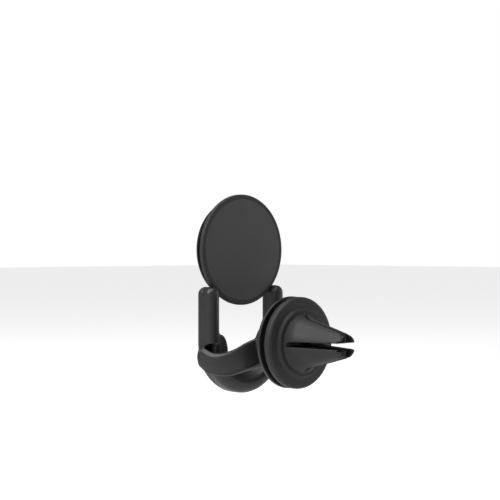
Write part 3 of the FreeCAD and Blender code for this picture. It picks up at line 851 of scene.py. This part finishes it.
LINER_IN, LINER_OUT = 4.55, 5.2
LINER_AHEAD, LINER_BEHIND = 2.2, -3.4
liner_front_angle = math.degrees(math.acos(LINER_AHEAD / LINER_OUT))
liner_back_angle = math.degrees(math.acos(LINER_BEHIND / LINER_OUT))
turned(
    "ball_liner_moulding",
    ball_arc(LINER_OUT, liner_front_angle, liner_back_angle, 22)
    + ball_arc(LINER_IN, liner_back_angle - 3, liner_front_angle - 3, 22),
    grey_acetal,
    "liner",
    ["socket_liner"],
    around=96,
)

ring_back, ring_front = span("socket_ring", 1)
ring_radius = span("socket_ring", 0)[1]
RING_IN = 5.25
ring_front_angle = math.degrees(math.acos((ring_front - BALL_CENTRE) / RING_IN))
ring_back_angle = math.degrees(math.acos((ring_back - BALL_CENTRE) / RING_IN))
turned(
    "socket_ring_moulding",
    [(ring_radius, ring_back, 0.1), (ring_radius, ring_front, 0.2)]
    + ball_arc(RING_IN + 0.02, ring_front_angle, ring_back_angle, 12),
    satin_black,
    "cradle",
    ["socket_ring"],
    around=96,
)

# ---------------------------------------------------------------- cradle
# One black moulding: a U with two round-tipped legs, a band that loops from the outside of the legs
# round to the ball socket, and a gusset inside each leg's foot. The grip's neck drops between the legs.

LEG_MIDDLE = 15.95
LEG_WIDE, LEG_DEEP, LEG_ROUND = 5.4, 8.1, 2.5
cradle_low, cradle_high = (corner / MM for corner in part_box("cradle_frame"))
CRADLE_GRID = 0.3
u_back = cradle_low.y - 0.3
u_middle = u_back + LEG_DEEP / 2
BEND_Z = -0.7
leg_top = cradle_high.z
BAND_CENTRE = -32.0
BAND_WIDE, BAND_REACH, BAND_TAIL, BAND_THICK = 20.4, 15.4, 3.2, 1.7
BAND_STARTS = 15.2
RISE_FROM, RISE_TRUE = -22.5, 0.76
CROWN, EDGE_FALL, EDGE_FROM = 0.4, 0.9, 0.68
BEAD_PROUD, BEAD_AT, BEAD_SPREAD = 0.42, 0.93, 0.09
SOCKET_RADIUS, SOCKET_FRONT = 7.0, 3.0
BALL_ROOM, RING_ROOM = 5.25, 6.06
PARTING_Y = u_back + 3.4
PARTING_DEEP, PARTING_SPREAD = 0.16, 0.4
GUSSET_Y, GUSSET_HALF = u_back + LEG_DEEP - 1.4, 1.05
GUSSET_IN, GUSSET_OUT, GUSSET_REACH = 13.3, 16.0, 3.4
GUSSET_SHOULDER, GUSSET_RISE, GUSSET_FOOT = -4.4, 6.6, -9.8
APRON_Y, APRON_HALF, APRON_TOP = u_back + 2.0, 1.0, -8.5
DISC_CENTRE_Z, DISC_ROOM = 32.05, 20.1
POCKET_ROOF, POCKET_RISE, POCKET_INNER, POCKET_FLOOR = -4.3, 3.6, 14.4, -7.0
BAND_TOP = (
    (-36.0, -1.6),
    (-30.8, -2.3),
    (-27.5, -3.6),
    (-23.5, -3.1),
    (-21.4, -1.7),
    (-19.3, 0.7),
    (-16.0, 4.2),
)
BAND_FOOT = (
    (-36.0, -7.4),
    (-33.0, -9.0),
    (-29.3, -10.8),
    (-25.4, -11.7),
    (-22.7, -11.8),
    (-19.8, -10.5),
    (-17.4, -8.1),
    (-16.0, -4.4),
)


def through(points, y):
    """A smooth height through (y, z) points, eased between them."""
    known_y, known_z = (np.array(side) for side in zip(*points))
    slopes = np.gradient(known_z, known_y)
    index = np.clip(np.searchsorted(known_y, y) - 1, 0, len(known_y) - 2)
    gap = known_y[index + 1] - known_y[index]
    share = np.clip((y - known_y[index]) / gap, 0, 1)
    start, end = known_z[index], known_z[index + 1]
    rise, fall = slopes[index] * gap, slopes[index + 1] * gap
    square, cube = share**2, share**3
    return (
        start * (2 * cube - 3 * square + 1)
        + rise * (cube - 2 * square + share)
        + end * (3 * square - 2 * cube)
        + fall * (cube - square)
    )


def u_distance(x, y, z):
    """The U: a flat bar of rounded section that follows two legs and a half circle."""
    above = np.clip(z, BEND_Z, leg_top - LEG_WIDE / 2)
    beside = np.abs(x)
    straight = np.sqrt((beside - LEG_MIDDLE) ** 2 + (z - above) ** 2)
    bend = np.abs(np.sqrt(x * x + (z - BEND_Z) ** 2) - LEG_MIDDLE)
    off_line = np.where(z > BEND_Z, straight, bend)
    across = off_line - (LEG_WIDE / 2 - LEG_ROUND)
    deep = np.abs(y - u_middle) - (LEG_DEEP / 2 - LEG_ROUND)
    outside = np.sqrt(np.clip(across, 0, None) ** 2 + np.clip(deep, 0, None) ** 2)
    return outside + np.minimum(np.maximum(across, deep), 0) - LEG_ROUND


def band_distance(x, y, z):
    """The band: an elliptical strap, crowned outside, with a beaded lower lip."""
    reach = np.where(y > BAND_CENTRE, BAND_REACH, BAND_TAIL)
    mid_wide, mid_reach = BAND_WIDE - BAND_THICK / 2, reach - BAND_THICK / 2
    ahead = y - BAND_CENTRE
    level = np.sqrt((x / mid_wide) ** 2 + (ahead / mid_reach) ** 2)
    steep = np.sqrt((x / mid_wide**2) ** 2 + (ahead / mid_reach**2) ** 2) / np.maximum(level, 1e-3)
    outward = (level - 1) / np.maximum(steep, 1e-3)
    top, foot = through(BAND_TOP, y), through(BAND_FOOT, y)
    middle, half = (top + foot) / 2, (top - foot) / 2
    slant = np.where(y > RISE_FROM, RISE_TRUE, 1.0)
    up, half = (z - middle) * slant, half * slant
    share = np.clip(up / np.maximum(half, 1), -1, 1)
    front = np.clip(ahead / 4, 0, 1)
    hollow = CROWN * share**2 + EDGE_FALL * np.clip((share - EDGE_FROM) / (1 - EDGE_FROM), 0, 1)
    lip = BEAD_PROUD * front * np.exp(-(((share + BEAD_AT) / BEAD_SPREAD) ** 2))
    thick = BAND_THICK / 2
    outer_side = outward - thick + hollow - lip
    inner_side = -outward - thick
    sides = smooth_max(outer_side, inner_side, 0.5)
    body = smooth_max(sides, np.abs(up) - half, 1.0)
    return smooth_max(body, BAND_STARTS - np.abs(x) - np.clip(ahead, 0, None) * 9, 0.4)


def gusset_distance(x, y, z):
    """A plate inside the foot of each leg, with a quarter-round top."""
    plate = np.abs(y - GUSSET_Y) - GUSSET_HALF
    across = (GUSSET_IN - np.abs(x)) / GUSSET_REACH
    above = (z - GUSSET_SHOULDER) / GUSSET_RISE
    curve = (np.sqrt(np.clip(across, 0, None) ** 2 + np.clip(above, 0, None) ** 2) - 1) * GUSSET_REACH
    limits = np.maximum(np.maximum(curve, np.abs(x) - GUSSET_OUT), GUSSET_FOOT - z)
    return smooth_max(plate, limits, 0.4)


def apron_distance(x, y, z):
    """The thin apron that fills the bottom of the U, near its back."""
    around = np.sqrt(x * x + (z - BEND_Z) ** 2)
    plate = np.abs(y - APRON_Y) - APRON_HALF
    return smooth_max(plate, np.maximum(around - LEG_MIDDLE, z - APRON_TOP), 0.5)


def parted_bar(x, y, z):
    """The U with its parting groove, and the pocket that the band's root hollows into each leg."""
    bar = u_distance(x, y, z)
    bar = bar + PARTING_DEEP * np.exp(-(((y - PARTING_Y) / PARTING_SPREAD) ** 2))
    behind = np.clip((u_back + LEG_DEEP - y) / (u_back + LEG_DEEP - PARTING_Y), 0, 1)
    arch = POCKET_ROOF + POCKET_RISE * np.sqrt(1 - behind**2)
    pocket = np.maximum(np.maximum(z - arch, PARTING_Y + 0.1 - y), POCKET_INNER - np.abs(x))
    pocket = np.maximum(pocket, POCKET_FLOOR - z)
    return smooth_max(bar, -pocket, 0.3)


def cradle_distance(x, y, z):
    """The whole moulding: U, gussets, apron and band, with the socket and its ball's room cut out."""
    frame_bar = parted_bar(x, y, z)
    frame_bar = smooth_min(frame_bar, gusset_distance(x, y, z), 0.8)
    frame_bar = smooth_min(frame_bar, apron_distance(x, y, z), 4.0)
    frame_bar = smooth_max(frame_bar, u_back - y, 0.3)
    body = smooth_min(frame_bar, band_distance(x, y, z), 1.0)
    from_ball = np.sqrt(x * x + (y - BALL_CENTRE) ** 2 + z * z)
    socket = np.maximum(from_ball - SOCKET_RADIUS, y - (BALL_CENTRE + SOCKET_FRONT))
    body = smooth_min(body, socket, 1.2)
    body = np.maximum(body, BALL_ROOM - from_ball)
    around_axis = np.sqrt(x * x + z * z)
    throat = np.maximum(around_axis - RING_ROOM, BALL_CENTRE + 1.0 - y)
    body = smooth_max(body, -throat, 0.25)
    mouth = np.maximum(around_axis - BALL_ROOM, BALL_CENTRE - y)
    body = np.maximum(body, -mouth)
    beside_disc = np.sqrt(x * x + (z - DISC_CENTRE_Z) ** 2) - DISC_ROOM
    return smooth_max(body, -beside_disc, 0.3)


shaped(
    "cradle_moulding",
    cradle_distance,
    tuple(cradle_low),
    tuple(cradle_high),
    CRADLE_GRID * quick_step,
    satin_black,
    "cradle",
    ["cradle_frame"],
)

# ---------------------------------------------------------------- pop-out grip: pad, base, bellows, platform
# A thin gel pad sticks the base to the phone. The base carries a folding rubber bellows, held by a
# snap ring, and the bellows' outer end carries the platform that the disc twists onto.

GRIP_Z = (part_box("disc_shell")[0].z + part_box("disc_shell")[1].z) / 2 / MM
pad_back, pad_front = span("adhesive_pad", 1)
pad_radius = span("adhesive_pad", 0)[1]
# The pad's near-black is partly the gel's own colour and partly painted shade: the shadow on the pad's side
# under the disc's rim.
shade_darkened_gel_pad = moulded_finish(
    "gel_pad_with_painted_shade",
    (0.008, 0.008, 0.0085),
    (0.03, 0.03, 0.03),
    0.6,
    grain=1500.0,
    grain_depth=0.02,
    sheen=0.4,
    wear=0.1,
    dust=0.2,
    specular=0.25,
)
PAD_ROUND = 0.22
turned(
    "adhesive_pad_gel",
    [
        (0.0, pad_back, 0.0),
        (pad_radius, pad_back, PAD_ROUND),
        (pad_radius, pad_front, PAD_ROUND),
        (0.0, pad_front, 0.0),
    ],
    shade_darkened_gel_pad,
    "grip",
    ["adhesive_pad"],
    axis_z=GRIP_Z,
)

# A very dark matte black for the base and platform. Part of its darkness is the plastic's own black, and the
# rest is painted shade: the shadow that the disc's overhanging rim casts on the base's side.
shade_darkened_black = moulded_finish(
    "matte_black_plastic_with_painted_shade",
    (0.004, 0.004, 0.0042),
    (0.015, 0.015, 0.0155),
    0.5,
    grain=3000.0,
    grain_depth=0.012,
    wear=0.3,
    specular=0.16,
)
base_back, base_front = span("grip_base", 1)
base_radius = span("grip_base", 0)[1]
base_floor = base_back + 0.7
SPIGOT_OUT, SPIGOT_IN = 7.5, 6.3
# The base's side is coloured with the darkened black, so the shadow under the disc's rim is painted shade
# here.
turned(
    "grip_base_moulding",
    [
        (0.0, base_back, 0.0),
        (base_radius, base_back, 0.15),
        (base_radius, base_floor, 0.25),
        (SPIGOT_OUT, base_floor, 0.1),
        (SPIGOT_OUT, base_front, 0.2),
        (SPIGOT_IN, base_front, 0.2),
        (SPIGOT_IN, base_floor, 0.1),
        (0.0, base_floor, 0.0),
    ],
    shade_darkened_black,
    "grip",
    ["grip_base"],
    axis_z=GRIP_Z,
)

snap_back, snap_front = span("snap_ring", 1)
SNAP_IN, SNAP_OUT = 7.62, 8.88
turned(
    "snap_ring_moulding",
    [
        (SNAP_IN, snap_back, 0.1),
        (SNAP_OUT, snap_back, 0.1),
        (SNAP_OUT, snap_front, 0.3),
        (SNAP_IN, snap_front, 0.15),
    ],
    grey_acetal,
    "grip",
    ["snap_ring"],
    axis_z=GRIP_Z,
)

soft_rubber = moulded_finish(
    "soft_black_elastomer",
    (0.016, 0.016, 0.016),
    (0.045, 0.045, 0.045),
    0.48,
    grain=2800.0,
    grain_depth=0.008,
    wear=0.15,
    dust=0.25,
)
bellows_back, bellows_front = span("bellows", 1)
bellows_radius = span("bellows", 0)[1]
CREASES = 6
NECK_OUT = 9.2
SKIN, SKIN_ROUND = 0.38, 0.06
NARROWING = 0.55
FIRST_FOLD, VALLEY = 0.35, 0.45
fold_outline = []
fold_rise = (bellows_front - bellows_back - SKIN) / CREASES
for crease in range(CREASES + 1):
    room = bellows_radius - NECK_OUT - NARROWING * (CREASES - crease)
    proud = room * (FIRST_FOLD + (1 - FIRST_FOLD) * crease / CREASES)
    reach = NECK_OUT + (proud if crease % 2 else proud * VALLEY)
    fold_outline.append((reach, bellows_back + crease * fold_rise))
bellows_outline = [(radius + SKIN / 2, along, SKIN_ROUND) for radius, along in fold_outline]
bellows_outline += [(radius - SKIN / 2, along + SKIN, SKIN_ROUND) for radius, along in reversed(fold_outline)]
bellows_piece = turned(
    "bellows_elastomer",
    bellows_outline,
    soft_rubber,
    None,
    ["bellows"],
    axis_z=GRIP_Z,
)
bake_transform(bellows_piece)

platform_back, platform_front = span("grip_platform", 1)
platform_radius = span("grip_platform", 0)[1]
platform_step = platform_back + 0.8
PIVOT_RADIUS = 4.0
turned(
    "grip_platform_moulding",
    [
        (0.0, platform_back, 0.0),
        (platform_radius, platform_back, 0.2),
        (platform_radius, platform_step, 0.25),
        (PIVOT_RADIUS, platform_step, 0.15),
        (PIVOT_RADIUS, platform_front, 0.15),
        (0.0, platform_front, 0.0),
    ],
    shade_darkened_black,
    "platform",
    ["grip_platform"],
    axis_z=GRIP_Z,
)

# ---------------------------------------------------------------- disc
# The grip's disc is a shallow, matte grey cap with a full, soft rim. A thin film face, an even dark
# grey and dead flat, is let into it flush, with a hairline round its edge.

disc_back, disc_front = span("disc_shell", 1)
disc_radius = span("disc_shell", 0)[1]
face_radius = span("disc_face", 0)[1]
DISC_WALL, DISC_SKIN, FACE_THICK = 1.5, 0.8, 0.6
HAIRLINE = 0.04
shell_floor = disc_front - FACE_THICK
shell_grey = moulded_finish(
    "matte_grey_plastic",
    (0.026, 0.026, 0.0265),
    (0.045, 0.045, 0.046),
    0.55,
    grain=3000.0,
    grain_depth=0.01,
    wear=0.3,
    specular=0.25,
)
turned(
    "disc_shell_moulding",
    [
        (0.0, shell_floor - DISC_SKIN, 0.0),
        (disc_radius - DISC_WALL, shell_floor - DISC_SKIN, 0.15),
        (disc_radius - DISC_WALL, disc_back, 0.2),
        (disc_radius, disc_back, 0.75),
        (disc_radius, disc_front, 1.12),
        (face_radius + HAIRLINE, disc_front - 0.01, 0.05),
        (face_radius + HAIRLINE, disc_front - 0.25, 0.0),
        (face_radius, shell_floor, 0.0),
        (0.0, shell_floor, 0.0),
    ],
    shell_grey,
    "cap",
    ["disc_shell"],
    axis_z=GRIP_Z,
    around=224,
)

film_grey = moulded_finish(
    "matte_grey_film",
    (0.051, 0.051, 0.052),
    (0.07, 0.07, 0.07),
    0.62,
    grain=5200.0,
    grain_depth=0.004,
    sheen=0.06,
    wear=0.2,
    wear_width=0.0002,
    dust=0.05,
    scuffs=0.02,
    specular=0.35,
)
film_radius, film_back = face_radius - 0.02, shell_floor + 0.05
turned(
    "disc_face_film",
    [
        (0.0, film_back, 0.0),
        (film_radius, film_back, 0.0),
        (film_radius, disc_front, 0.08),
        (0.0, disc_front, 0.0),
    ],
    film_grey,
    "cap",
    ["disc_face"],
    axis_z=GRIP_Z,
    around=224,
)

# ---------------------------------------------------------------- floor, lights and camera
# A plain pale floor well below the mount, one large soft light high on the left, one overhead, a weak
# one behind on the right, and a level camera at the height of the disc's centre.

FLOOR_Z, FLOOR_REACH = -0.075, 6
floor_mesh = bpy.data.meshes.new("floor")
floor_mesh.from_pydata(
    [(FLOOR_REACH * a, FLOOR_REACH * b, FLOOR_Z) for a, b in ((-1, -1), (1, -1), (1, 1), (-1, 1))],
    [],
    [(0, 1, 2, 3)],
)
floor = bpy.data.objects.new("floor", floor_mesh)
bpy.context.scene.collection.objects.link(floor)
floor_paint = bpy.data.materials.new("pale_floor")
floor_paint.use_nodes = True
floor_shader = floor_paint.node_tree.nodes["Principled BSDF"]
floor_shader.inputs["Base Color"].default_value = (0.86, 0.86, 0.86, 1.0)
floor_shader.inputs["Roughness"].default_value = 0.9
floor_shader.inputs["Specular IOR Level"].default_value = 0.0
floor_shader.inputs["Emission Color"].default_value = (1.0, 1.0, 1.0, 1.0)
floor_path = floor_paint.node_tree.nodes.new("ShaderNodeLightPath")
FLOOR_GLOW = 0.62
floor_glow = math_node(floor_paint.node_tree, "MULTIPLY", floor_path.outputs["Is Camera Ray"], FLOOR_GLOW)
floor_paint.node_tree.links.new(floor_glow, floor_shader.inputs["Emission Strength"])
floor_mesh.materials.append(floor_paint)
floor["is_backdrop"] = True

world = bpy.data.worlds.new("studio")
bpy.context.scene.world = world
world.use_nodes = True
sky = world.node_tree
room = sky.nodes["Background"]
room.inputs["Color"].default_value = (1.0, 1.0, 1.0, 1.0)
ROOM_LOW, ROOM_SWING = 0.1, 0.24
BRIGHT_SIDE = (0.65, 0.5, 0.57)
seen = sky.nodes.new("ShaderNodeBackground")
seen.inputs["Color"].default_value = (1.0, 1.0, 1.0, 1.0)
seen.inputs["Strength"].default_value = 1.0
choice = sky.nodes.new("ShaderNodeMixShader")
path = sky.nodes.new("ShaderNodeLightPath")
way = sky.nodes.new("ShaderNodeVectorMath")
way.operation = "DOT_PRODUCT"
sky.links.new(sky.nodes.new("ShaderNodeTexCoord").outputs["Generated"], way.inputs[0])
way.inputs[1].default_value = BRIGHT_SIDE
toward = math_node(sky, "ADD", math_node(sky, "MULTIPLY", way.outputs["Value"], 0.5), 0.5, clamp=True)
glow = math_node(sky, "ADD", math_node(sky, "MULTIPLY", toward, ROOM_SWING), ROOM_LOW)
sky.links.new(glow, room.inputs["Strength"])
sky.links.new(path.outputs["Is Camera Ray"], choice.inputs["Fac"])
sky.links.new(room.outputs["Background"], choice.inputs[1])
sky.links.new(seen.outputs["Background"], choice.inputs[2])
sky.links.new(choice.outputs["Shader"], sky.nodes["World Output"].inputs["Surface"])

CAMERA_AZIMUTH = math.radians(136.0)
CAMERA_PLACE = Vector((0.29698, 0.27972, 0.03195))
TO_CAMERA = Vector((math.sin(CAMERA_AZIMUTH), -math.cos(CAMERA_AZIMUTH), 0.0))
CAMERA_RIGHT = Vector((-TO_CAMERA.y, TO_CAMERA.x, 0.0))
STUDIO_CENTRE = Vector((0.0, -0.02, 0.01))


def softbox(name, left, up, near, size, power):
    """An area light placed from the camera's point of view and aimed at the mount."""
    lamp = bpy.data.lights.new(name, "AREA")
    lamp.shape = "RECTANGLE"
    lamp.size, lamp.size_y = size
    lamp.energy = power
    made = bpy.data.objects.new(name, lamp)
    bpy.context.scene.collection.objects.link(made)
    made.location = STUDIO_CENTRE - CAMERA_RIGHT * left + Vector((0, 0, up)) + TO_CAMERA * near
    made.rotation_mode = "QUATERNION"
    made.rotation_quaternion = (STUDIO_CENTRE - made.location).to_track_quat("-Z", "Y")


softbox("key_left", 0.5, 0.5, 0.36, (0.4, 0.45), 4.9)
softbox("top", 0.1, 0.7, 0.05, (0.5, 0.4), 3.6)
softbox("rim_right", -0.6, 0.1, -0.25, (0.2, 0.5), 0.8)

camera_data = bpy.data.cameras.new("camera")
camera_data.lens = 85.8
camera_data.sensor_width = 36.0
camera = bpy.data.objects.new("camera", camera_data)
bpy.context.scene.collection.objects.link(camera)
camera.location = CAMERA_PLACE
camera.rotation_mode = "QUATERNION"
camera.rotation_quaternion = (-TO_CAMERA).to_track_quat("-Z", "Y")
bpy.context.scene.camera = camera
bpy.context.scene.view_settings.view_transform = "Standard"

low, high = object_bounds()
